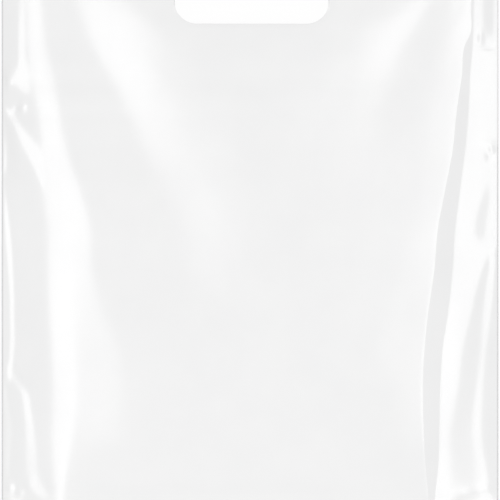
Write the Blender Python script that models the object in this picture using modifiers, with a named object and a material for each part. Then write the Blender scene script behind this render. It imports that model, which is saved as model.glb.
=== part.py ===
"""A plastic carrier bag with a punched hand hole, lying on its back panel with its mouth towards +Y.

The bag is one web of film. It is folded across at the bottom, and its two sides are welded, so the front
panel, the back panel, the bottom fold and both welds are a single piece. Metres, +Z up, and the origin is
under the middle of the bag, on the surface that it lies on.
"""

import bmesh
import bpy
import numpy as np

# The bag as it lies. The film turns back at the welds and at the bottom fold with a small radius, and the
# back panel curls up a little there.
BAG_WIDTH = 0.296
BAG_LENGTH = 0.396
FILM_THICKNESS = 0.0001
EDGE_RADIUS = 0.0005
EDGE_LIFT = 0.003
LIFT_REACH = 0.028
CORNER_INSET = EDGE_RADIUS / 2

# The hand hole, punched through both panels at once
HOLE_WIDTH = 0.092
HOLE_HEIGHT = 0.027
HOLE_DROP = 0.0365
HOLE_OFFSET = 0.001
HOLE_ARC_POINTS = 13
PUNCH_REACH = 0.040

# The front panel stands on the welds in long facets that run down the bag. A row is a share of the length,
# the distances from the weld in millimetres where each facet ends, and how steep each facet is.
MILLIMETRE = 0.001
LEFT_FACETS = (
    (0.12, (32, 36, 42, 140, 155, 166), (0.34, 0.17, 0.04, 0.00, 0.00, 0.00)),
    (0.23, (30, 42, 74, 140, 155, 166), (0.34, 0.17, 0.07, 0.00, 0.00, 0.00)),
    (0.35, (29, 43, 72, 138, 165, 180), (0.34, 0.17, 0.10, 0.00, 0.03, 0.01)),
    (0.47, (28, 43, 57, 114, 155, 175), (0.36, 0.19, 0.16, 0.00, 0.11, 0.06)),
    (0.59, (25, 40, 46, 94, 136, 152), (0.36, 0.20, 0.17, 0.00, 0.15, 0.09)),
    (0.71, (22, 31, 36, 72, 100, 132), (0.36, 0.20, 0.16, 0.00, 0.19, 0.11)),
    (0.81, (15, 21, 27, 53, 74, 98), (0.36, 0.18, 0.14, 0.00, 0.19, 0.12)),
    (1.00, (8, 13, 18, 25, 38, 52), (0.38, 0.18, 0.12, 0.00, 0.16, 0.10)),
)
RIGHT_FACETS = (
    (0.12, (2, 38, 42, 50, 90, 100, 112), (0.30, 0.16, 0.44, 0.00, 0.00, 0.00, 0.00)),
    (0.23, (13, 36, 45, 62, 90, 100, 112), (0.38, 0.16, 0.42, 0.06, 0.00, 0.00, 0.00)),
    (0.35, (12, 34, 44, 74, 90, 100, 112), (0.38, 0.16, 0.42, 0.09, 0.00, 0.00, 0.00)),
    (0.47, (2, 28, 38, 58, 85, 100, 115), (0.30, 0.13, 0.41, 0.06, 0.00, 0.00, 0.00)),
    (0.59, (2, 23, 32, 46, 80, 100, 118), (0.20, 0.12, 0.40, 0.05, -0.01, 0.01, 0.00)),
    (0.71, (2, 18, 25, 41, 66, 85, 108), (0.20, 0.12, 0.40, 0.04, -0.02, 0.05, 0.03)),
    (0.81, (2, 16, 21, 31, 53, 66, 80), (0.20, 0.13, 0.40, 0.07, -0.02, 0.15, 0.07)),
    (1.00, (2, 11, 14, 20, 24, 36, 46), (0.20, 0.16, 0.40, 0.07, -0.02, 0.16, 0.04)),
)
FACET_ROUNDING = 0.003
BOTTOM_SLOPE_LENGTH = 0.046

# Puckers that the side welds draw in the film. Each is (its points, half its width, height), with points
# as (distance in from the weld, share of the length), and a height below zero is a dent. A pucker keeps
# this share of its height at its ends.
PUCKER_END_SHARE = 0.3
LEFT_PUCKERS = (
    (((0.001, 0.745), (0.012, 0.700), (0.022, 0.650)), 0.007, -0.0008),
    (((0.001, 0.715), (0.015, 0.655), (0.024, 0.620)), 0.006, 0.0010),
    (((0.001, 0.597), (0.006, 0.400), (0.002, 0.304)), 0.004, 0.0006),
    (((0.005, 0.320), (0.015, 0.225), (0.028, 0.125)), 0.006, 0.0009),
)
RIGHT_PUCKERS = (
    (((0.006, 0.880), (0.010, 0.822), (0.002, 0.803)), 0.005, 0.0008),
    (((0.001, 0.655), (0.007, 0.664), (0.016, 0.668)), 0.005, 0.0006),
    (((0.003, 0.430), (0.008, 0.350), (0.012, 0.250), (0.008, 0.180)), 0.006, 0.0006),
    (((0.002, 0.147), (0.016, 0.141), (0.034, 0.128)), 0.006, 0.0010),
)

# How finely the film is divided: across a panel, down a panel, and how far the columns crowd to the welds
COLUMNS = 44
ROWS = 46
EDGE_CROWDING = 0.5
MERGE_DISTANCE = 0.000005
FLAT_ANGLE = 0.001

FILM_COLOUR = (0.86, 0.86, 0.86, 1.0)
FILM_ROUGHNESS = 0.22
FILM_IOR = 1.51

HALF_WIDTH = BAG_WIDTH / 2
HALF_LENGTH = BAG_LENGTH / 2


def empty_scene():
    for old in list(bpy.data.objects):
        bpy.data.objects.remove(old)


def new_collection(name):
    collection = bpy.data.collections.new(name)
    bpy.context.scene.collection.children.link(collection)
    return collection


def move_to(obj, collection):
    for holder in list(obj.users_collection):
        holder.objects.unlink(obj)
    collection.objects.link(obj)


def eased(share):
    """0 to 1 with a level start and end."""
    share = np.clip(share, 0.0, 1.0)
    return share * share * (3.0 - 2.0 * share)


def eased_wall(share):
    """A wall that leaves its edge at its steepest and levels out."""
    share = np.clip(share, 0.0, 1.0)
    return 1.0 - (1.0 - share) ** 2


def side_height(facets, distance, share):
    """The facets of one side: their height at this distance from the weld, and past the last of them."""
    stations = [row[0] for row in facets]
    ends = [np.interp(share, stations, column) for column in zip(*(row[1] for row in facets))]
    slopes = [np.interp(share, stations, column) for column in zip(*(row[2] for row in facets))]
    height = 0.0
    reached = 0.0
    for end, slope, next_slope in zip(ends, slopes, slopes[1:] + [0.0]):
        end = end * MILLIMETRE
        change = (slope - next_slope) / 2.0
        reach = np.hypot(end, FACET_ROUNDING)
        height += change * (distance + reach - np.hypot(distance - end, FACET_ROUNDING))
        reached += change * (end + reach)
    return height, reached


def distance_to_route(x, y, points):
    """The distance from a point to a line through points, and the share of the line where it is nearest."""
    best = 1.0e9
    best_share = 0.0
    runs = len(points) - 1
    for i in range(runs):
        ax, ay = points[i]
        bx, by = points[i + 1]
        run_x, run_y = bx - ax, by - ay
        along = ((x - ax) * run_x + (y - ay) * run_y) / (run_x**2 + run_y**2)
        along = float(np.clip(along, 0.0, 1.0))
        gap = float(np.hypot(x - ax - along * run_x, y - ay - along * run_y))
        if gap < best:
            best = gap
            best_share = (i + along) / runs
    return best, best_share


def pucker_height(puckers, distance, share):
    """What the weld's puckers add. Each is highest at its middle and fades out at its ends."""
    height = 0.0
    for points, half_width, rise in puckers:
        route = [(d, s * BAG_LENGTH) for d, s in points]
        gap, along = distance_to_route(distance, share * BAG_LENGTH, route)
        along_height = PUCKER_END_SHARE + (1.0 - PUCKER_END_SHARE) * np.sin(np.pi * along)
        height += rise * along_height * eased(1.0 - gap / half_width)
    return height


def lift_of(x, y):
    """How far the back panel curls up off the surface, next to the welds and the bottom fold."""
    from_weld = HALF_WIDTH - abs(x)
    from_fold = y + HALF_LENGTH
    nearest_edge = min(from_weld, from_fold)
    return EDGE_LIFT * eased(1.0 - nearest_edge / LIFT_REACH)


def front_height(x, y):
    """How far the front panel stands above the welds."""
    share = (y + HALF_LENGTH) / BAG_LENGTH
    from_left = x + HALF_WIDTH
    from_right = HALF_WIDTH - x
    left, left_crest = side_height(LEFT_FACETS, from_left, share)
    right, right_crest = side_height(RIGHT_FACETS, from_right, share)
    across = from_left / BAG_WIDTH
    height = left + right - right_crest * (1.0 - across) - left_crest * across
    height += pucker_height(LEFT_PUCKERS, from_left, share)
    height += pucker_height(RIGHT_PUCKERS, from_right, share)
    return max(height, 0.0) * eased_wall((y + HALF_LENGTH) / BOTTOM_SLOPE_LENGTH)


def column_x(column):
    """The columns of the film crowd towards the welds, where its folds are narrow."""
    if column in (0, COLUMNS):
        return HALF_WIDTH * (1 if column else -1)
    even = 2.0 * (column - 1) / (COLUMNS - 2) - 1.0
    crowded = np.sin(0.5 * np.pi * even)
    return (HALF_WIDTH - EDGE_RADIUS) * (
        (1.0 - EDGE_CROWDING) * even + EDGE_CROWDING * crowded
    )


def row_y(row):
    """Rows run from the mouth, row 0, down to the bottom fold, row ROWS."""
    if row == ROWS:
        return -HALF_LENGTH
    share = row / (ROWS - 1)
    return HALF_LENGTH - share * (BAG_LENGTH - EDGE_RADIUS)


def film_point(column, row):
    """A point of the folded web's outer side. Rows past the bottom fold climb the back panel."""
    on_front = row <= ROWS
    x = column_x(column)
    y = row_y(row if on_front else 2 * ROWS - row)
    lift = lift_of(x, y)
    if column in (0, COLUMNS) and row == ROWS:
        x -= np.sign(x) * CORNER_INSET
        y += CORNER_INSET
    if column in (0, COLUMNS) or row == ROWS:
        return x, y, lift + EDGE_RADIUS
    if on_front:
        return x, y, EDGE_LIFT + 2.0 * EDGE_RADIUS + front_height(x, y)
    return x, y, lift


def folded_film(collection):
    """The web of film as a grid, folded at the bottom and joined along both side welds."""
    bpy.ops.mesh.primitive_grid_add(x_subdivisions=COLUMNS, y_subdivisions=2 * ROWS, size=2.0)
    film = bpy.context.active_object
    film.name = "carrier_bag"
    film.data.name = "carrier_bag"
    move_to(film, collection)

    web = bmesh.new()
    web.from_mesh(film.data)
    for vertex in web.verts:
        column = round((vertex.co.x + 1.0) / 2.0 * COLUMNS)
        row = round((vertex.co.y + 1.0) / 2.0 * 2 * ROWS)
        vertex.co = film_point(column, row)
    bmesh.ops.remove_doubles(web, verts=web.verts, dist=MERGE_DISTANCE)
    bmesh.ops.recalc_face_normals(web, faces=web.faces)

    back_faces = [face for face in web.faces if face.normal.z < 0.0]
    back_verts = {vert for face in back_faces for vert in face.verts}
    bmesh.ops.dissolve_limit(
        web,
        angle_limit=FLAT_ANGLE,
        verts=[vert for vert in back_verts if not vert.is_boundary],
        edges=list({edge for face in back_faces for edge in face.edges}),
    )
    web.to_mesh(film.data)
    web.free()
    return film


def give_thickness(film):
    wall = film.modifiers.new("film_thickness", "SOLIDIFY")
    wall.thickness = FILM_THICKNESS
    wall.offset = -1.0
    wall.use_even_offset = True
    wall.use_rim = True


def hole_cutter(collection):
    """The punch for the hand hole: a slot with full round ends, long enough to pass both panels."""
    middle_y = HALF_LENGTH - HOLE_DROP - HOLE_HEIGHT / 2
    radius = HOLE_HEIGHT / 2
    half_run = HOLE_WIDTH / 2 - radius
    outline = []
    for side in (1, -1):
        for i in range(HOLE_ARC_POINTS):
            angle = np.pi * (i / (HOLE_ARC_POINTS - 1) - 0.5)
            outline.append(
                (side * (half_run + radius * np.cos(angle)), side * radius * np.sin(angle))
            )

    curve = bpy.data.curves.new("hand_hole_outline", "CURVE")
    curve.dimensions = "2D"
    curve.fill_mode = "BOTH"
    curve.extrude = PUNCH_REACH
    spline = curve.splines.new("POLY")
    spline.points.add(len(outline) - 1)
    for point, (x, y) in zip(spline.points, outline):
        point.co = (x, y, 0.0, 1.0)
    spline.use_cyclic_u = True
    drawn = bpy.data.objects.new("hand_hole_outline", curve)
    drawn.location = (HOLE_OFFSET, middle_y, 0.0)
    collection.objects.link(drawn)
    bpy.context.view_layer.update()

    graph = bpy.context.evaluated_depsgraph_get()
    mesh = bpy.data.meshes.new_from_object(drawn.evaluated_get(graph))
    solid = bmesh.new()
    solid.from_mesh(mesh)
    bmesh.ops.remove_doubles(solid, verts=solid.verts, dist=MERGE_DISTANCE)
    bmesh.ops.recalc_face_normals(solid, faces=solid.faces)
    solid.to_mesh(mesh)
    solid.free()
    punch = bpy.data.objects.new("hand_hole_punch", mesh)
    punch.matrix_world = drawn.matrix_world.copy()
    collection.objects.link(punch)
    bpy.data.objects.remove(drawn)
    punch.hide_render = True
    punch.display_type = "WIRE"
    return punch


def punch_hole(film, punch):
    cut = film.modifiers.new("hand_hole", "BOOLEAN")
    cut.operation = "DIFFERENCE"
    cut.solver = "EXACT"
    cut.object = punch


def film_material():
    material = bpy.data.materials.new("white_film")
    material.use_nodes = True
    shader = material.node_tree.nodes["Principled BSDF"]
    shader.inputs["Base Color"].default_value = FILM_COLOUR
    shader.inputs["Roughness"].default_value = FILM_ROUGHNESS
    shader.inputs["Metallic"].default_value = 0.0
    shader.inputs["IOR"].default_value = FILM_IOR
    material.diffuse_color = FILM_COLOUR
    return material


def main():
    empty_scene()
    bag_parts = new_collection("plastic_carrier_bag")
    cutters = new_collection("cutters")
    film = folded_film(bag_parts)
    give_thickness(film)
    punch_hole(film, hole_cutter(cutters))
    film.data.materials.append(film_material())
    film.data.shade_smooth()


main()
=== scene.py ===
# %% [markdown]
# # A plastic carrier bag, lying on its back panel
#
# The real bag is one web of white polyethylene film. It is folded across at the bottom, its two sides are
# welded with a hot wire, and a slot for the hand is punched through both panels. Empty, it lies down, and
# what we see is not the film's colour, which is plain white, but its gloss: every place where the film
# leans a few degrees mirrors one of the studio's soft lights, and shows as a bright streak.
#
# So this lesson spends most of its lines on the film's shape. We work out how high the front panel stands
# at every place, lay a grid of film over that, turn it round at the welds and the bottom fold, and light it.

import bmesh
import bpy
import numpy as np
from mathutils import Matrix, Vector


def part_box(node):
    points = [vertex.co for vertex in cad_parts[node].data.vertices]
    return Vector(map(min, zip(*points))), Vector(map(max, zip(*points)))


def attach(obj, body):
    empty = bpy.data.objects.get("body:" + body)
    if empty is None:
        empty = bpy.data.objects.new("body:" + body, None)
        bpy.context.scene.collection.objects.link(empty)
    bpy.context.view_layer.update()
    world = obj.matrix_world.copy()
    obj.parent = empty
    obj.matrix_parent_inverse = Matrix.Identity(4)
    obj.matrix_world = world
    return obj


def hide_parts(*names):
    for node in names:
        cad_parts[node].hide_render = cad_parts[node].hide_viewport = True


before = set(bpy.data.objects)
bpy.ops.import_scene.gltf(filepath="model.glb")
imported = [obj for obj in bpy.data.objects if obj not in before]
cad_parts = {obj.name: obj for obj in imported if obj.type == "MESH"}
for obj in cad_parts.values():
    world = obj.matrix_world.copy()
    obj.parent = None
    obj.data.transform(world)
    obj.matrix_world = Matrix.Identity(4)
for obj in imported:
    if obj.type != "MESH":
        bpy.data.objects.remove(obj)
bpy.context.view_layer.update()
low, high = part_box("carrier_bag")
print("the bag's box in mm:", [round(1000 * (b - a), 1) for a, b in zip(low, high)])

# %% [markdown]
# ## Sizes
#
# The driving sizes come from the frame where they can: the bag is as wide and as long as the solid that it
# replaces. The rest are the sizes of the real thing in metres: a film a tenth of a millimetre thick, a weld
# that is a bead one millimetre across, and a hand hole 92 by 27 mm with full round ends.

# %% Sizes in metres
HALF_WIDTH = (high[0] - low[0]) / 2
BAG_LENGTH = round(high[1] - low[1], 4)
HALF_LENGTH = BAG_LENGTH / 2
FILM_THICKNESS = 0.0001
BEAD_RADIUS = 0.0005

HOLE_HALF_RUN = 0.0325
HOLE_RADIUS = 0.0135
HOLE_OFFSET = 0.001
HOLE_FROM_MOUTH = 0.050
HOLE_MIDDLE = (HOLE_OFFSET, HALF_LENGTH - HOLE_FROM_MOUTH)

EDGE_LIFT = 0.003
LIFT_REACH = 0.028
print(f"bag {2000 * HALF_WIDTH:.0f} by {1000 * BAG_LENGTH:.0f} mm")

# %% [markdown]
# ## Tools for curved outlines
#
# Each fold of the film is told as a short table: at some shares of the bag's length, from 0 at the bottom
# fold to 1 at the mouth, we give where it starts, how wide it is and how steep. Between those stations a
# straight line would leave a kink, and gloss shows a kink at once. A cubic curve through the stations has
# none, so that is what `between` draws.


# %% A smooth curve through a few stations
def between(share, stations, values):
    """Cubic Hermite curve through the stations, level past both ends."""
    stations = np.asarray(stations, float)
    values = np.asarray(values, float)
    run = np.diff(stations)
    slope = np.diff(values) / run
    tangent = np.zeros(len(values))
    same_way = slope[:-1] * slope[1:] > 0
    weight = run[1:] * slope[:-1] + run[:-1] * slope[1:]
    tangent[1:-1] = np.where(same_way, weight / (run[1:] + run[:-1]), 0.0)
    inside = np.clip(share, stations[0], stations[-1])
    i = np.clip(np.searchsorted(stations, inside) - 1, 0, len(run) - 1)
    t = (inside - stations[i]) / run[i]
    rise = values[i + 1] - values[i]
    start_pull = run[i] * tangent[i] - rise
    end_pull = rise - run[i] * tangent[i + 1]
    return values[i] + t * rise + t * (1 - t) * ((1 - t) * start_pull + t * end_pull)


print("the curve's middle on its way from 0 to 1:", between(0.5, (0, 1), (0, 1)))


# %% Easing
def eased(share):
    """Level at 0 and at 1."""
    share = np.clip(share, 0.0, 1.0)
    return share * share * (3.0 - 2.0 * share)


def leaving(share):
    """Steep at 0 and level at 1."""
    return 1.0 - (1.0 - np.clip(share, 0.0, 1.0)) ** 2


print("a quarter of the way, eased and leaving:", eased(0.25), leaving(0.25))

# %% [markdown]
# ## The facets of the front panel
#
# Seen from above, the film is built up of long facets that run down the bag. From each weld inwards it
# climbs steeply, turns over a shoulder, and reaches a nearly level middle. At the mouth the front panel
# arches up, so a slope runs down from each top corner, and the two meet as a V in the middle of the bag.
#
# A row of a table is one station down the bag: its share of the length, then the distance in millimetres
# from the weld where each facet ends, then how steep each facet is. Film with a slope of 0.12 to 0.18, 7 to
# 10 degrees, is the brightest, because it mirrors a soft light. Under 0.05 it is plain, over 0.3 darker.
# The tables are chosen from where the streaks lie and how bright they are.

# %% The left side: flank, shoulder, soft shoulder, level, mouth slope and its soft end
LEFT_FACETS = (
    (0.12, (32, 36, 42, 140, 155, 166), (0.34, 0.17, 0.03, 0.00, 0.00, 0.00)),
    (0.18, (30, 39, 48, 140, 155, 166), (0.34, 0.17, 0.03, 0.00, 0.00, 0.00)),
    (0.23, (29.5, 42, 74, 140, 155, 166), (0.34, 0.17, 0.045, 0.00, 0.00, 0.00)),
    (0.29, (29.5, 43, 74, 140, 160, 172), (0.34, 0.17, 0.06, 0.00, 0.00, 0.00)),
    (0.35, (29, 43, 72, 138, 165, 180), (0.34, 0.17, 0.085, 0.00, 0.04, 0.02)),
    (0.41, (28, 43, 63, 128, 165, 185), (0.35, 0.18, 0.125, 0.00, 0.09, 0.06)),
    (0.47, (27.5, 43, 57, 108, 153, 175), (0.36, 0.19, 0.145, 0.00, 0.13, 0.09)),
    (0.53, (27, 40, 55, 103, 144, 168), (0.36, 0.20, 0.155, 0.00, 0.15, 0.11)),
    (0.59, (25, 40, 48, 91, 134, 154), (0.36, 0.20, 0.17, 0.00, 0.165, 0.11)),
    (0.65, (25, 35, 41, 82, 114, 150), (0.36, 0.20, 0.17, 0.00, 0.18, 0.14)),
    (0.71, (22, 31, 36, 73, 108, 138), (0.36, 0.20, 0.16, 0.00, 0.18, 0.12)),
    (0.76, (18, 25, 32, 65, 94, 120), (0.36, 0.19, 0.15, 0.00, 0.18, 0.12)),
    (0.81, (15, 21, 27, 54, 76, 105), (0.36, 0.18, 0.14, 0.00, 0.18, 0.13)),
    (0.86, (13, 19, 24, 46, 62, 82), (0.36, 0.18, 0.13, 0.00, 0.18, 0.12)),
    (1.00, (8, 13, 18, 25, 38, 52), (0.38, 0.18, 0.12, 0.00, 0.16, 0.10)),
)
LEFT_ROUNDING = (4.0, 2.5, 4, 8, 12, 12)
print(len(LEFT_ROUNDING), "facets on the left, told at", len(LEFT_FACETS), "stations")

# %% The right side: flange, step, soft shoulder, level, mouth slope and its soft end
RIGHT_FACETS = (
    (0.12, (38, 42, 50, 90, 100, 112), (0.12, 0.44, 0.00, 0.00, 0.00, 0.00)),
    (0.18, (36, 44, 52, 90, 100, 112), (0.15, 0.42, 0.01, 0.00, 0.00, 0.00)),
    (0.23, (35.5, 45, 62, 90, 100, 112), (0.16, 0.42, 0.035, 0.00, 0.00, 0.00)),
    (0.29, (35, 45.5, 72, 90, 100, 112), (0.16, 0.42, 0.065, 0.00, 0.00, 0.00)),
    (0.35, (33.5, 44.5, 74, 90, 100, 112), (0.16, 0.42, 0.08, 0.00, 0.00, 0.00)),
    (0.41, (30, 42, 68, 85, 100, 112), (0.15, 0.42, 0.055, 0.00, 0.00, 0.00)),
    (0.47, (27.5, 38.5, 58, 85, 100, 115), (0.13, 0.41, 0.03, 0.00, 0.00, 0.00)),
    (0.53, (26, 36.5, 50, 80, 100, 118), (0.12, 0.40, 0.015, -0.01, 0.00, 0.00)),
    (0.59, (23, 32, 46, 80, 100, 118), (0.12, 0.40, 0.02, -0.01, 0.01, 0.00)),
    (0.65, (20, 27.5, 43, 75, 95, 112), (0.12, 0.40, 0.02, -0.01, 0.02, 0.00)),
    (0.71, (18, 25, 41, 68, 88, 110), (0.12, 0.40, 0.015, -0.02, 0.065, 0.04)),
    (0.76, (17, 22, 35, 62, 84, 102), (0.13, 0.40, 0.025, -0.02, 0.105, 0.07)),
    (0.81, (15.5, 19.8, 31, 56, 70, 86), (0.14, 0.40, 0.07, -0.02, 0.15, 0.10)),
    (0.826, (15.2, 16.8, 30, 52, 65, 83), (0.16, 0.40, 0.095, -0.02, 0.155, 0.10)),
    (0.86, (15, 16.6, 28, 44, 54, 70), (0.16, 0.40, 0.10, -0.02, 0.18, 0.08)),
    (1.00, (11, 12.4, 20, 24, 36, 46), (0.17, 0.40, 0.10, -0.02, 0.16, 0.04)),
)
RIGHT_ROUNDING = (0.3, 0.3, 6, 7, 5, 10)
print(len(RIGHT_ROUNDING), "facets on the right, told at", len(RIGHT_FACETS), "stations")

# %% [markdown]
# Where one facet turns into the next the slope changes over a rounding, which is also in millimetres. A
# hyperbola does that well, because its own slope runs smoothly from one straight arm to the other.

# %% Add up the facets of one side
MILLIMETRE = 0.001
BOTTOM_REACH = 0.046


def side_height(facets, roundings, distance, share):
    """The height at each distance from the weld, and the height that is left past the last facet."""
    stations = [row[0] for row in facets]
    ends = [MILLIMETRE * between(share, stations, column) for column in zip(*(row[1] for row in facets))]
    slopes = [between(share, stations, column) for column in zip(*(row[2] for row in facets))]
    slopes.append(0.0)
    height, crest = 0.0, 0.0
    for i, end in enumerate(ends):
        rounding = MILLIMETRE * roundings[i]
        change = slopes[i] - slopes[i + 1]
        reach = np.hypot(end, rounding)
        height = height + change * 0.5 * (distance + reach - np.hypot(distance - end, rounding))
        crest = crest + change * 0.5 * (end + reach)
    return height, crest


for side_name, facets, roundings in (
    ("left", LEFT_FACETS, LEFT_ROUNDING),
    ("right", RIGHT_FACETS, RIGHT_ROUNDING),
):
    halfway_crest = side_height(facets, roundings, HALF_WIDTH, 0.5)[1]
    print(f"half way down the bag the {side_name} facets climb {1000 * halfway_crest:.1f} mm")

# %% [markdown]
# ## Creases that start at the welds
#
# A hot weld shrinks, and the film next to it is gathered. From the tight points along it, narrow facets fan
# out into the panel. We call them bands. A band changes the slope between two lines that wander down the
# bag. Most bands on the left make the dark flank less steep, so they mirror a light and show as bright
# lines. Most on the right make the bright flange steeper, and show dark. A row is a share of the length,
# where the band starts and how wide it is, both in millimetres, and what it adds to the slope.

# %% Bands on the left
LEFT_BANDS = (
    ((0.60, 0.8, 1.0, 0.00), (0.62, 1.2, 1.8, -0.18), (0.65, 1.4, 2.0, -0.20), (0.69, 0.8, 1.0, 0.00)),
    (
        (0.28, 0.8, 1.5, 0.00), (0.303, 1.2, 3.0, -0.12), (0.325, 3.4, 3.4, -0.20), (0.35, 4.5, 3.4, -0.20),
        (0.41, 4.7, 3.2, -0.20), (0.47, 3.7, 3.2, -0.20), (0.53, 2.0, 3.0, -0.20), (0.59, 1.0, 1.5, -0.10),
        (0.61, 0.8, 1.0, 0.00),
    ),
    (
        (0.14, 1.5, 3.0, 0.00), (0.175, 2.0, 3.0, -0.14), (0.23, 2.5, 3.5, -0.12), (0.285, 0.8, 2.4, -0.14),
        (0.30, 0.8, 2, 0.00),
    ),
    (
        (0.11, 24, 9, 0.00), (0.138, 18.5, 8, -0.15), (0.175, 14, 8, -0.14), (0.228, 14, 6, -0.16),
        (0.26, 13, 5, -0.19), (0.288, 10.8, 4.8, -0.20), (0.303, 6.5, 4, -0.20), (0.32, 3.6, 3, -0.08),
        (0.335, 3, 3, 0.00),
    ),
    (
        (0.585, 25, 1, 0.00), (0.605, 23, 3, -0.15), (0.627, 19, 6, -0.17), (0.65, 13.5, 9, -0.17),
        (0.688, 6.5, 5, -0.20), (0.71, 2, 4, -0.18), (0.722, 1, 2, 0.00),
    ),
    (
        (0.58, 3, 7, 0.00), (0.605, 3.4, 7, 0.06), (0.627, 3.4, 7, 0.12), (0.65, 3.4, 6, 0.20),
        (0.688, 2.2, 4, 0.20), (0.705, 0.5, 1.5, 0.20), (0.73, 0.3, 1, 0.00),
    ),
    (
        (0.725, 14, 4, 0.00), (0.742, 10, 7, -0.14), (0.752, 6, 10, -0.17), (0.763, 6, 10, -0.18),
        (0.775, 9, 6, -0.18), (0.80, 9.8, 4, -0.17), (0.86, 9.5, 4, -0.12), (0.94, 9.5, 4, 0.00),
    ),
    (
        (0.715, 0.3, 3, 0.00), (0.735, 0.3, 4, 0.12), (0.745, 0.3, 4, 0.25), (0.76, 0.3, 4, 0.35),
        (0.78, 0.3, 5, 0.15), (0.83, 0.3, 5, 0.00),
    ),
    ((0.10, 4, 9, 0.00), (0.122, 4, 9, -0.16), (0.137, 4, 6, -0.16), (0.16, 4, 2, 0.00)),
)
print(len(LEFT_BANDS), "bands on the left")

# %% Bands on the right
RIGHT_BANDS = (
    (
        (0.10, 0.3, 2.5, 0.00), (0.14, 0.3, 4.5, 0.18), (0.175, 0.3, 6.5, 0.20), (0.228, 0.3, 9.0, 0.20),
        (0.288, 0.3, 8.4, 0.20), (0.35, 0.3, 6.0, 0.20), (0.41, 0.3, 3.2, 0.20), (0.47, 0.3, 1.5, 0.20),
        (0.49, 0.3, 0.8, 0.00),
    ),
    (
        (0.06, 12, 17, 0.00), (0.10, 12, 17, 0.08), (0.16, 12.5, 17, 0.105), (0.19, 14, 15, 0.115),
        (0.228, 16, 12, 0.12), (0.26, 15.5, 10, 0.17), (0.288, 14.5, 8.8, 0.20), (0.35, 12, 8.3, 0.21),
        (0.41, 10, 4.8, 0.21), (0.455, 7.5, 3.4, 0.21), (0.48, 5.5, 2.2, 0.15), (0.50, 4, 1.5, 0.00),
    ),
    ((0.505, 8, 5, 0.00), (0.53, 8, 6, 0.12), (0.58, 5.5, 4, 0.10), (0.605, 5, 2, 0.00)),
    ((0.812, 3, 3, 0.00), (0.84, 3.4, 5, 0.16), (0.90, 3.4, 5, 0.20), (0.94, 3, 5, 0.00)),
    ((0.815, 28, 1.2, 0.00), (0.84, 24.5, 1.4, -0.12), (0.873, 20.3, 1.4, -0.12), (0.91, 18, 1.2, 0.00)),
)
print(len(RIGHT_BANDS), "bands on the right")

# %% [markdown]
# A band is rounded at both its lines in the way that the facets are, by a share of its own width.


# %% Add up the bands of one side
BAND_SOFTNESS = 0.25


def bands_height(bands, distance, share):
    """The height at each distance from the weld, and the height that is left past the last band."""
    height, crest = 0.0, 0.0
    for band in bands:
        stations, starts, widths, slopes = zip(*band)
        start = MILLIMETRE * between(share, stations, starts)
        width = MILLIMETRE * between(share, stations, widths)
        rounding = BAND_SOFTNESS * width
        change = 0.5 * between(share, stations, slopes)
        at_weld = np.hypot(start + width, rounding) - np.hypot(start, rounding)
        past = np.hypot(distance - start, rounding) - np.hypot(distance - start - width, rounding)
        height = height + change * (past + at_weld)
        crest = crest + change * (width + at_weld)
    return height, crest


halfway_crest = bands_height(RIGHT_BANDS, HALF_WIDTH, 0.35)[1]
print(f"at the lower right the bands raise the panel by {1000 * halfway_crest:.1f} mm")

# %% [markdown]
# ## Dents where the film is pinched
#
# At the tightest points of the welds the film buckles in small dents and bumps. Each is a smooth hill, and
# a row says where its top is (millimetres from the weld, share of the length), how far it reaches across
# and along the bag, and how high it stands, all in millimetres. A dent has a height below zero.

# %% Dents and bumps on the left: the two pinches above, the branch below and the bottom corner
LEFT_DENTS = (
    (12.5, 0.713, 2.0, 2.2, 0.55), (9.0, 0.713, 1.8, 2.0, -0.45), (4.0, 0.752, 2.0, 2.2, 0.40),
    (3.5, 0.306, 1.8, 2.0, 0.30),
    (5.0, 0.143, 2.4, 2.0, 0.50), (11.0, 0.136, 2.4, 2.4, 0.50), (16.0, 0.145, 2.6, 3.0, 0.15),
)
print(len(LEFT_DENTS), "dents and bumps on the left")

# %% Dents and bumps on the right: the hook, the pinch, the branch and the fold in the bottom corner
RIGHT_DENTS = (
    (10.5, 0.819, 1.8, 2.6, 0.55), (6.0, 0.8045, 5.0, 1.5, -0.55), (6.0, 0.7995, 5.0, 1.5, 0.40),
    (4.0, 0.651, 1.8, 2.0, 0.50), (5.5, 0.641, 2.0, 1.8, -0.45), (7.0, 0.662, 5.0, 1.6, 0.35),
    (2.5, 0.492, 1.8, 3.0, 0.35),
    (7.5, 0.142, 4.5, 2.2, 0.55), (17.0, 0.1375, 6.0, 2.4, 0.50),
    (26.5, 0.130, 6.0, 2.4, 0.45), (36.0, 0.123, 6.0, 2.2, 0.40),
)
print(len(RIGHT_DENTS), "dents and bumps on the right")


# %% Add up the dents of one side
def dents_height(dents, distance, share):
    """What the dents and bumps add to the height of the panel."""
    height = np.zeros(distance.shape)
    for place, station, across, along, top in dents:
        beside = (distance / MILLIMETRE - place) / across
        below = (share - station) * BAG_LENGTH / MILLIMETRE / along
        height += MILLIMETRE * top * np.exp(-np.hypot(beside, below) ** 2)
    return height


# %% [markdown]
# ## The slack of the film
#
# No film lies quite flat. A few long waves, a fraction of a millimetre high, break up the level middle, so
# that its grey is never one flat tone. They are sines with seeded phases, which come out the same each time.

# %% Long shallow waves
WAVES = 9
WAVE_HEIGHT = 0.00007
SHORTEST_WAVE = 0.045
LONGEST_WAVE = 0.120
WAVE_SEED = 7
wave_dice = np.random.default_rng(WAVE_SEED)
wave_turn = wave_dice.uniform(0.0, np.pi, WAVES)
wave_length = wave_dice.uniform(SHORTEST_WAVE, LONGEST_WAVE, WAVES)
wave_phase = wave_dice.uniform(0.0, 2.0 * np.pi, WAVES)


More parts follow.
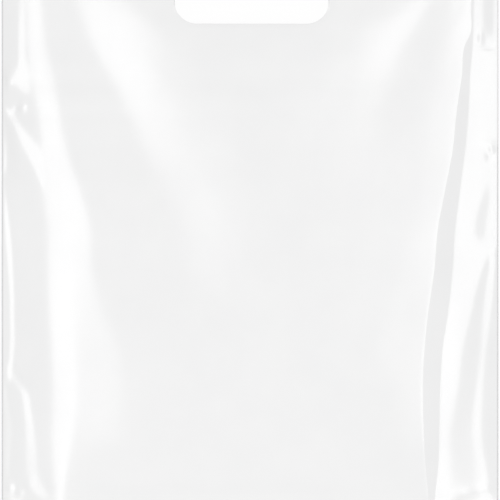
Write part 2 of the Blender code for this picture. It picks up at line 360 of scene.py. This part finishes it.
def slack(x, y):
    """How far the waves move the film up or down."""
    total = 0.0
    for turn, length, phase in zip(wave_turn, wave_length, wave_phase):
        total = total + np.sin(2 * np.pi * (x * np.cos(turn) + y * np.sin(turn)) / length + phase)
    return WAVE_HEIGHT * total


print(f"{WAVES} waves, {1000 * wave_length.min():.0f} to {1000 * wave_length.max():.0f} mm long")

# %% [markdown]
# ## The height of both panels
#
# The facets, bands and dents of both sides are added up. Each side's sum goes on rising to its own crest, so
# we take the two crests away again, each in step with the distance from the other side. What is left starts
# at nothing at both welds. The waves fade out next to the welds, where the film is taut, and everything
# sinks to the fold at the bottom.

# %% Height of both panels
CALM_REACH = 0.030


def lift(x, y):
    """How far the edges of the back panel curl up."""
    nearest = np.minimum(HALF_WIDTH - np.abs(x), y + HALF_LENGTH)
    return EDGE_LIFT * eased(1.0 - nearest / LIFT_REACH)


def panel_height(x, y):
    """How far the front panel stands above the bead of the welds."""
    share = (y + HALF_LENGTH) / BAG_LENGTH
    height, crests = 0.0, []
    sides = (
        (x + HALF_WIDTH, LEFT_FACETS, LEFT_ROUNDING, LEFT_BANDS, LEFT_DENTS),
        (HALF_WIDTH - x, RIGHT_FACETS, RIGHT_ROUNDING, RIGHT_BANDS, RIGHT_DENTS),
    )
    for from_weld, facets, roundings, bands, dents in sides:
        facet_height, facet_crest = side_height(facets, roundings, from_weld, share)
        band_height, band_crest = bands_height(bands, from_weld, share)
        height = height + facet_height + band_height + dents_height(dents, from_weld, share)
        crests.append(facet_crest + band_crest)
    across = (x + HALF_WIDTH) / (2 * HALF_WIDTH)
    height = height - crests[1] * (1.0 - across) - crests[0] * across
    from_nearest = HALF_WIDTH - np.abs(x)
    calm = eased(from_nearest / CALM_REACH)
    climbed = leaving((y + HALF_LENGTH) / BOTTOM_REACH)
    return np.maximum(height + calm * slack(x, y), 0.0) * climbed


middle_height = panel_height(np.array([0.0]), np.array([0.0]))[0]
print(f"the front panel's middle stands {1000 * middle_height:.1f} mm above the welds")

# %% [markdown]
# ## The grid of film
#
# A web of film is a sheet, so we make it from a grid, as a sheet is woven. The columns crowd together near
# the welds, where the creases are, and near the round ends of the hand hole. The rows crowd together where
# the film is pinched. The front panel, the fold and the back panel are one grid: its first rows are the mouth
# of the front panel, and its last rows the mouth of the back one.

# %% How far apart the columns and rows are
SPACING_AT = (0.000, 0.020, 0.034, 0.046, 0.060, 0.090, 0.108, 0.125, 0.148)
SPACING = (0.0032, 0.0030, 0.0018, 0.0018, 0.0028, 0.0022, 0.0012, 0.0009, 0.0008)
ROW_SPACING = 0.0026
PINCHED_SPACING = 0.0014
PINCHES = (0.135, 0.650, 0.715, 0.750, 0.810)
PINCH_REACH = 0.030


def column_spacing(from_middle):
    """The width of a cell at a distance from the middle of the bag."""
    return np.interp(from_middle, SPACING_AT, SPACING)


def row_spacing(from_mouth):
    """The length of a cell at a distance from the mouth."""
    share = 1.0 - from_mouth / BAG_LENGTH
    nearest = np.min([np.abs(share - pinch) for pinch in PINCHES], axis=0)
    return ROW_SPACING - (ROW_SPACING - PINCHED_SPACING) * eased(1.0 - nearest / PINCH_REACH)


print(f"cells are {1000 * PINCHED_SPACING:.1f} to {1000 * ROW_SPACING:.1f} mm long")

# %% Columns and rows
FINE_STEPS = 4001
CREASE_PLACES = (0.032, 0.042)


def places_along(length, spacing):
    """Places from 0 to the length whose steps follow the wanted spacing."""
    fine = np.linspace(0.0, length, FINE_STEPS)
    steps = np.cumsum(1.0 / spacing(fine)) * (fine[1] - fine[0])
    count = int(round(steps[-1]))
    places = np.interp(np.linspace(0.0, steps[-1], count + 1), steps, fine)
    places[0] = 0.0
    return places


half = places_along(HALF_WIDTH - BEAD_RADIUS, column_spacing)
columns = np.concatenate([-half[:0:-1], half])
crease_columns = []
for place in CREASE_PLACES:
    crease_columns.append(int(np.argmin(np.abs(HALF_WIDTH - place - columns))))
    columns[crease_columns[-1]] = HALF_WIDTH - place
rows = HALF_LENGTH - places_along(BAG_LENGTH - BEAD_RADIUS, row_spacing)
ROWS = len(rows)
print(len(columns), "columns and", ROWS, "rows")

# %% [markdown]
# The step on the right is folded sharp at both its edges. A sharp edge can only follow a column of the
# grid, so we bend the columns there: two of them run along the step, and the rest share out the room.

# %% Bend the columns along the step
CREASE_REACH = 0.075


def along_creases(x, y):
    """Where the columns pass each row, once two of them follow the step."""
    share = (y + HALF_LENGTH) / BAG_LENGTH
    stations = [row[0] for row in RIGHT_FACETS]
    starts = MILLIMETRE * between(share, stations, [row[1][0] for row in RIGHT_FACETS])
    ends = MILLIMETRE * between(share, stations, [row[1][1] for row in RIGHT_FACETS])
    straight = (0.0, *CREASE_PLACES, CREASE_REACH, 2 * HALF_WIDTH)
    bent = x.copy()
    for i in range(len(y)):
        wanted = (0.0, starts[i], ends[i], CREASE_REACH, 2 * HALF_WIDTH)
        bent[i] = HALF_WIDTH - np.interp(HALF_WIDTH - x[i], straight, wanted)
    return bent


grid_x, grid_y = np.meshgrid(columns, rows)
grid_x = along_creases(grid_x, rows)
step_widths = 1000 * (grid_x[:, crease_columns[0]] - grid_x[:, crease_columns[1]])
print(f"the step is {step_widths.min():.1f} to {step_widths.max():.1f} mm wide")

# %% [markdown]
# ## The hand hole
#
# The hole could be cut with a Boolean, but that leaves slivers along its rim, and gloss shows those too. We
# drop the cells whose middle lies inside the slot, and pull the edge of what is left onto the slot's
# outline. A few rounds of averaging then even out the cells around it.


# %% Places by the slot's outline
TINY = 1e-9


def slot_distance(x, y):
    """Below zero inside the slot."""
    dx = np.maximum(np.abs(x - HOLE_MIDDLE[0]) - HOLE_HALF_RUN, 0.0)
    return np.hypot(dx, y - HOLE_MIDDLE[1]) - HOLE_RADIUS


def onto_slot(x, y):
    """The nearest place on the slot's outline."""
    core = HOLE_MIDDLE[0] + np.clip(x - HOLE_MIDDLE[0], -HOLE_HALF_RUN, HOLE_HALF_RUN)
    off_x, off_y = x - core, y - HOLE_MIDDLE[1]
    length = np.maximum(np.hypot(off_x, off_y), TINY)
    return core + HOLE_RADIUS * off_x / length, HOLE_MIDDLE[1] + HOLE_RADIUS * off_y / length


print(f"the hole is {2000 * (HOLE_HALF_RUN + HOLE_RADIUS):.0f} mm wide")

# %% Pull the cut edge onto the slot
cell_x = (grid_x[:-1, :-1] + grid_x[1:, 1:]) / 2
cell_y = (grid_y[:-1, :-1] + grid_y[1:, 1:]) / 2
punched = slot_distance(cell_x, cell_y) < 0.0

touching = np.zeros(grid_x.shape, int)
for down in (0, 1):
    for over in (0, 1):
        touching[down : ROWS - 1 + down, over : len(columns) - 1 + over] += punched
on_rim = (touching > 0) & (touching < 4)
kept = touching < 4
grid_x[on_rim], grid_y[on_rim] = onto_slot(grid_x[on_rim], grid_y[on_rim])
print("cells punched out:", int(punched.sum()))

# %% Even out the cells around the slot
EVENING_REACH = 0.007
EVENING_ROUNDS = 12
near = kept & ~on_rim & (slot_distance(grid_x, grid_y) < EVENING_REACH)
near[0], near[-1], near[:, 0], near[:, -1] = False, False, False, False
for _ in range(EVENING_ROUNDS):
    for grid in (grid_x, grid_y):
        total = np.zeros(grid.shape)
        count = np.zeros(grid.shape)
        for down, over in ((0, 1), (0, -1), (1, 0), (-1, 0)):
            total += np.roll(grid * kept, (down, over), (0, 1))
            count += np.roll(kept, (down, over), (0, 1))
        grid[near] = 0.5 * grid[near] + 0.5 * (total / np.maximum(count, 1))[near]
print("points evened out:", int(near.sum()))

# %% [markdown]
# ## From flat layout to folded bag
#
# Now each place of the layout gets its height. The front panel stands on the heights that we worked out,
# and the rim of the hand hole dips a little, as a punch leaves it. At each weld the film turns through half
# a circle, the bead, and carries on as the back panel.

# %% Heights of the layout
RIM_DIP = 0.0004
RIM_REACH = 0.0016
rim_dip = RIM_DIP * (1.0 - np.clip(slot_distance(grid_x, grid_y) / RIM_REACH, 0.0, 1.0)) ** 2
front_z = EDGE_LIFT + 2 * BEAD_RADIUS + panel_height(grid_x, grid_y) - rim_dip
back_z = lift(grid_x, grid_y)
print(f"the front panel stands {1000 * front_z.max():.1f} mm high")

# %% Add the beads of the welds
BEAD_TURNS = (30, 60, 90)


def with_beads(x, y, z, side):
    """Adds the quarter turn of each weld's bead to a panel. side is 1 for the front and -1 for the back."""
    turns = np.radians(BEAD_TURNS)
    middle_z = lift(x[:, :1], y[:, :1]) + BEAD_RADIUS
    bead_x = HALF_WIDTH - BEAD_RADIUS + BEAD_RADIUS * np.sin(turns)
    bead_x, bead_y = np.broadcast_arrays(bead_x, y[:, :1])
    bead_z = middle_z + side * BEAD_RADIUS * np.cos(turns)
    return (
        np.hstack([-bead_x[:, ::-1], x, bead_x]),
        np.hstack([bead_y, y, bead_y]),
        np.hstack([bead_z[:, ::-1], z, bead_z]),
    )


front = with_beads(grid_x, grid_y, front_z, 1)
back = with_beads(grid_x, grid_y, back_z, -1)
print("points across the web:", front[0].shape[1])

# %% Join the panels at the fold
fold_x = front[0][-1:]
fold_y = np.full(fold_x.shape, -HALF_LENGTH)
fold_z = lift(fold_x, fold_y) + BEAD_RADIUS
web_x = np.vstack([front[0], fold_x, back[0][::-1]])
web_y = np.vstack([front[1], fold_y, back[1][::-1]])
web_z = np.vstack([front[2], fold_z, back[2][::-1]])
print("points in the web:", web_x.size)


# %% Lay the grid over the points
CUT_MARGIN = 0.0002
SAME_PLACE = 0.000005


def lay_film():
    """The grid as a mesh, without the cells in the hand hole, and with the columns of the step marked."""
    down, over = web_x.shape
    web = bmesh.new()
    bmesh.ops.create_grid(web, x_segments=over - 1, y_segments=down - 1, size=1.0)
    crease = web.verts.layers.int.new("crease")
    for vertex in web.verts:
        i = round((1.0 - vertex.co.y) / 2.0 * (down - 1))
        j = round((vertex.co.x + 1.0) / 2.0 * (over - 1))
        if i < ROWS and j - len(BEAD_TURNS) in crease_columns:
            vertex[crease] = j
        vertex.co = web_x[i, j], web_y[i, j], web_z[i, j]
    inside = [f for f in web.faces if slot_distance(*np.array(f.calc_center_median())[:2]) < -CUT_MARGIN]
    bmesh.ops.delete(web, geom=inside, context="FACES")
    bmesh.ops.remove_doubles(web, verts=web.verts, dist=SAME_PLACE)
    bmesh.ops.recalc_face_normals(web, faces=web.faces)
    return web


web = lay_film()
print("faces in the web:", len(web.faces))

# %% [markdown]
# The back panel lies on the table. Its middle is flat, and its curled edges run straight down the bag, so
# neither needs a grid. We let Blender merge the faces of the back that lie in one plane, which leaves the
# triangles for the creases of the front. How it merges them depends on the order in which it gets them. A
# Python set has no fixed order, so we go through the mesh's own lists, and each run gives the same film.

# %% Thin out the back
FLAT_ANGLE = 0.0005
FACING_DOWN = -0.98


def is_behind(element):
    """Whether a point or an edge of the web touches the back panel."""
    return any(face.normal.z < FACING_DOWN for face in element.link_faces)


behind_verts = [v for v in web.verts if is_behind(v) and not v.is_boundary]
behind_edges = [e for e in web.edges if is_behind(e)]
print(len(behind_verts), "points and", len(behind_edges), "edges may be merged")
bmesh.ops.dissolve_limit(web, angle_limit=FLAT_ANGLE, verts=behind_verts, edges=behind_edges)
print("faces after thinning:", len(web.faces))

film_mesh = bpy.data.meshes.new("carrier_bag_film")
web.to_mesh(film_mesh)
web.free()
film = bpy.data.objects.new("carrier_bag_film", film_mesh)
bpy.context.scene.collection.objects.link(film)

# %% [markdown]
# So far the film has no thickness. The Solidify modifier gives it one, towards the inside, and evenly at the
# creases. We then let Blender shade the film as one smooth surface, and keep it sharp only where it turns by
# a large angle, and along the two columns that follow the step.

# %% Give the film its thickness
wall = film.modifiers.new("thickness", "SOLIDIFY")
wall.thickness = FILM_THICKNESS
wall.offset = -1.0
wall.use_even_offset = True
graph = bpy.context.evaluated_depsgraph_get()
film.data = bpy.data.meshes.new_from_object(film.evaluated_get(graph))
film.modifiers.clear()
print("faces in the film:", len(film.data.polygons))

# %% Shade it smooth, and keep the step sharp
SHARP_ANGLE = 50
film.data.shade_smooth()
film.data.set_sharp_from_angle(angle=np.radians(SHARP_ANGLE))
on_crease = [item.value for item in film.data.attributes["crease"].data]
for edge in film.data.edges:
    first, second = (on_crease[i] for i in edge.vertices)
    if first and first == second:
        edge.use_edge_sharp = True
film.data.calc_loop_triangles()
print("triangles in the film:", len(film.data.loop_triangles))

# %% [markdown]
# ## The film's finish
#
# White polyethylene is a pale, even white with a clear gloss. Close to, it has faint streaks along the way
# that it was blown, and a fine unevenness that softens the gloss here and there. Along each weld a strip is
# painted a little greyer than the film, as painted shade for where the film turns down over the bead. A
# photograph could be wrapped round the bag instead, but it would carry its own highlights, so we mix the
# finish from noise textures, which follow our lights.


# %% A noise texture
def noise(nodes, scale, detail):
    texture = nodes.new("ShaderNodeTexNoise")
    texture.inputs["Scale"].default_value = scale
    texture.inputs["Detail"].default_value = detail
    return texture


# %% The white of the film, and painted shade along its welds
WHITE_LOW = (0.862, 0.862, 0.864, 1.0)
WHITE_HIGH = (0.876, 0.876, 0.876, 1.0)
MOTTLE_RANGE = (0.3, 0.7)
MOTTLE_SCALE = 45.0
MOTTLE_DETAIL = 4.0
# Painted shade: next to each weld the film is coloured grey, standing in for the shade where it turns down
# over the bead.
WELD_SHADE_WIDTH = 0.0012
WELD_EDGE_SHADE = (0.70, 0.70, 0.705, 1.0)


def film_white_and_weld_shade(nodes, links, place):
    """White with a faint mottle, and a grey strip of painted shade along each weld, where the film turns
    down.
    """
    mottle = noise(nodes, MOTTLE_SCALE, MOTTLE_DETAIL)
    links.new(place.outputs["Object"], mottle.inputs["Vector"])
    white = nodes.new("ShaderNodeValToRGB")
    for element, position, colour in zip(white.color_ramp.elements, MOTTLE_RANGE, (WHITE_LOW, WHITE_HIGH)):
        element.position = position
        element.color = colour
    links.new(mottle.outputs["Fac"], white.inputs["Fac"])

    spot = nodes.new("ShaderNodeSeparateXYZ")
    links.new(place.outputs["Object"], spot.inputs["Vector"])
    outwards = nodes.new("ShaderNodeMath")
    outwards.operation = "ABSOLUTE"
    links.new(spot.outputs["X"], outwards.inputs[0])
    # Painted shade: the white turns grey across the strip by each weld, in place of the shade on the turning
    # edge.
    weld = nodes.new("ShaderNodeMapRange")
    weld.inputs["From Min"].default_value = HALF_WIDTH - WELD_SHADE_WIDTH
    weld.inputs["From Max"].default_value = HALF_WIDTH - BEAD_RADIUS
    links.new(outwards.outputs["Value"], weld.inputs["Value"])
    with_weld_shade = nodes.new("ShaderNodeMixRGB")
    with_weld_shade.inputs["Color2"].default_value = WELD_EDGE_SHADE
    links.new(weld.outputs["Result"], with_weld_shade.inputs["Fac"])
    links.new(white.outputs["Color"], with_weld_shade.inputs["Color1"])
    return with_weld_shade.outputs["Color"]


# %% The streaks of the film
STREAK_STRETCH = (260.0, 9.0, 260.0)
STREAK_DETAIL = 3.0


def film_streaks(nodes, links, place):
    """Noise that is fine across the bag and long down it."""
    stretch = nodes.new("ShaderNodeMapping")
    stretch.inputs["Scale"].default_value = STREAK_STRETCH
    links.new(place.outputs["Object"], stretch.inputs["Vector"])
    streaks = noise(nodes, 1.0, STREAK_DETAIL)
    links.new(stretch.outputs["Vector"], streaks.inputs["Vector"])
    return streaks.outputs["Fac"]


# %% White film
FILM_IOR = 1.51
SMOOTHEST = 0.17
ROUGHEST = 0.25
RELIEF_STRENGTH = 0.15
RELIEF_HEIGHT = 0.00005


def film_finish():
    """The white, with the streaks in its roughness and its relief."""
    finish = bpy.data.materials.new("white_polyethylene_film")
    finish.use_nodes = True
    nodes, links = finish.node_tree.nodes, finish.node_tree.links
    shader = nodes["Principled BSDF"]
    shader.inputs["IOR"].default_value = FILM_IOR
    shader.inputs["Metallic"].default_value = 0.0
    place = nodes.new("ShaderNodeTexCoord")
    links.new(film_white_and_weld_shade(nodes, links, place), shader.inputs["Base Color"])

    streaks = film_streaks(nodes, links, place)
    gloss = nodes.new("ShaderNodeMapRange")
    gloss.inputs["To Min"].default_value = SMOOTHEST
    gloss.inputs["To Max"].default_value = ROUGHEST
    links.new(streaks, gloss.inputs["Value"])
    links.new(gloss.outputs["Result"], shader.inputs["Roughness"])

    relief = nodes.new("ShaderNodeBump")
    relief.inputs["Strength"].default_value = RELIEF_STRENGTH
    relief.inputs["Distance"].default_value = RELIEF_HEIGHT
    links.new(streaks, relief.inputs["Height"])
    links.new(relief.outputs["Normal"], shader.inputs["Normal"])
    return finish


film.data.materials.append(film_finish())
print("finish of the film:", film.data.materials[0].name)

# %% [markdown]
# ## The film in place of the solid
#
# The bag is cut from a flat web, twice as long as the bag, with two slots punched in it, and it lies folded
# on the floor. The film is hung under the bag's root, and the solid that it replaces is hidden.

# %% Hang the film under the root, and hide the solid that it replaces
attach(film, "root")
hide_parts("carrier_bag")

# %% [markdown]
# ## Floor, light and camera
#
# The bag lies on a plain pale floor. Two long soft lights hang on the left and the right, and the rest of
# the light comes from all round. A level film mirrors the gap between them, and a film that leans 7 to 15
# degrees mirrors one of them.
#
# The camera has to see the floor as an even white, as in a studio picture. Light as strong as that from all
# round would wash out the streaks in the film, so the floor and the sky ask who is looking. The camera gets
# the full white, and the film gets a dimmer surrounding.


# %% Ask who is looking
def seen_directly(nodes, links):
    """1 for a ray straight from the camera or through something clear, and 0 for any other."""
    rays = nodes.new("ShaderNodeLightPath")
    seen = nodes.new("ShaderNodeMath")
    seen.operation = "MAXIMUM"
    links.new(rays.outputs["Is Camera Ray"], seen.inputs[0])
    links.new(rays.outputs["Is Transmission Ray"], seen.inputs[1])
    return seen.outputs["Value"]


# %% The floor
FLOOR_WHITE = (0.86, 0.86, 0.86, 1.0)
FLOOR_ROUGHNESS = 0.8
FLOOR_GLOW = 1.0
FLOOR_GLOW_SHARE = 0.985
FLOOR_SIZE = 8.0
FLOOR_DROP = 0.0003


def floor_finish():
    """Pale and dull, with a white glow that the camera alone sees."""
    finish = bpy.data.materials.new("pale_floor")
    finish.use_nodes = True
    nodes, links = finish.node_tree.nodes, finish.node_tree.links
    shader = nodes["Principled BSDF"]
    shader.inputs["Base Color"].default_value = FLOOR_WHITE
    shader.inputs["Roughness"].default_value = FLOOR_ROUGHNESS
    white = nodes.new("ShaderNodeEmission")
    white.inputs["Strength"].default_value = FLOOR_GLOW
    share = nodes.new("ShaderNodeMath")
    share.operation = "MULTIPLY"
    share.inputs[1].default_value = FLOOR_GLOW_SHARE
    links.new(seen_directly(nodes, links), share.inputs[0])
    mix = nodes.new("ShaderNodeMixShader")
    links.new(share.outputs["Value"], mix.inputs["Fac"])
    links.new(shader.outputs["BSDF"], mix.inputs[1])
    links.new(white.outputs["Emission"], mix.inputs[2])
    links.new(mix.outputs["Shader"], nodes["Material Output"].inputs["Surface"])
    return finish


bpy.ops.mesh.primitive_plane_add(size=FLOOR_SIZE, location=(0.0, 0.0, -FLOOR_DROP))
floor = bpy.context.active_object
floor.name = "floor"
floor.data.materials.append(floor_finish())
print(f"floor: {FLOOR_SIZE:.0f} m wide")

# %% The sky
AROUND = 0.552
BACKGROUND = 1.0
world = bpy.data.worlds.new("studio")
bpy.context.scene.world = world
world.use_nodes = True
world_nodes, world_links = world.node_tree.nodes, world.node_tree.links
sky = world_nodes["Background"]
sky.inputs["Color"].default_value = (1.0, 1.0, 1.0, 1.0)
strength = world_nodes.new("ShaderNodeMapRange")
strength.inputs["To Min"].default_value = AROUND
strength.inputs["To Max"].default_value = BACKGROUND
world_links.new(seen_directly(world_nodes, world_links), strength.inputs["Value"])
world_links.new(strength.outputs["Result"], sky.inputs["Strength"])
print(f"the sky is {AROUND:.2f} to the film and {BACKGROUND:.2f} to the camera")

# %% The soft lights
LIGHT_HEIGHT = 1.6
LIGHT_INNER = 0.40
LIGHT_OUTER = 0.92
LIGHT_LENGTH = 1.7
LIGHT_TOWARDS_BOTTOM = 0.15
LIGHT_BRIGHTNESS = 3.45
light_width = LIGHT_OUTER - LIGHT_INNER
for name, side in (("left_soft_light", -1), ("right_soft_light", 1)):
    lamp = bpy.data.lights.new(name, "AREA")
    lamp.shape = "RECTANGLE"
    lamp.size = light_width
    lamp.size_y = LIGHT_LENGTH
    lamp.energy = LIGHT_BRIGHTNESS * np.pi * light_width * LIGHT_LENGTH
    lamp_object = bpy.data.objects.new(name, lamp)
    across = side * (LIGHT_INNER + LIGHT_OUTER) / 2
    lamp_object.location = (across, -LIGHT_TOWARDS_BOTTOM, LIGHT_HEIGHT)
    lamp_object.visible_camera = False
    bpy.context.scene.collection.objects.link(lamp_object)
    print(f"{name}: {lamp.energy:.1f} W")

# %% [markdown]
# The camera looks straight down from far off, so that the bag's sides stay parallel. We choose how wide a
# strip of the floor it sees, and work out the lens from that.

# %% The camera
SEEN_WIDTH = 0.2984
CAMERA_HEIGHT = 3.0
SENSOR_WIDTH = 36.0
lens = bpy.data.cameras.new("camera")
lens.sensor_width = SENSOR_WIDTH
lens.lens = SENSOR_WIDTH * CAMERA_HEIGHT / SEEN_WIDTH
camera = bpy.data.objects.new("camera", lens)
camera.location = (0.0, 0.0, CAMERA_HEIGHT)
camera.rotation_euler = (0.0, 0.0, 0.0)
bpy.context.scene.collection.objects.link(camera)
bpy.context.scene.camera = camera
bpy.context.scene.view_settings.view_transform = "Standard"
print(f"lens: {lens.lens:.0f} mm")
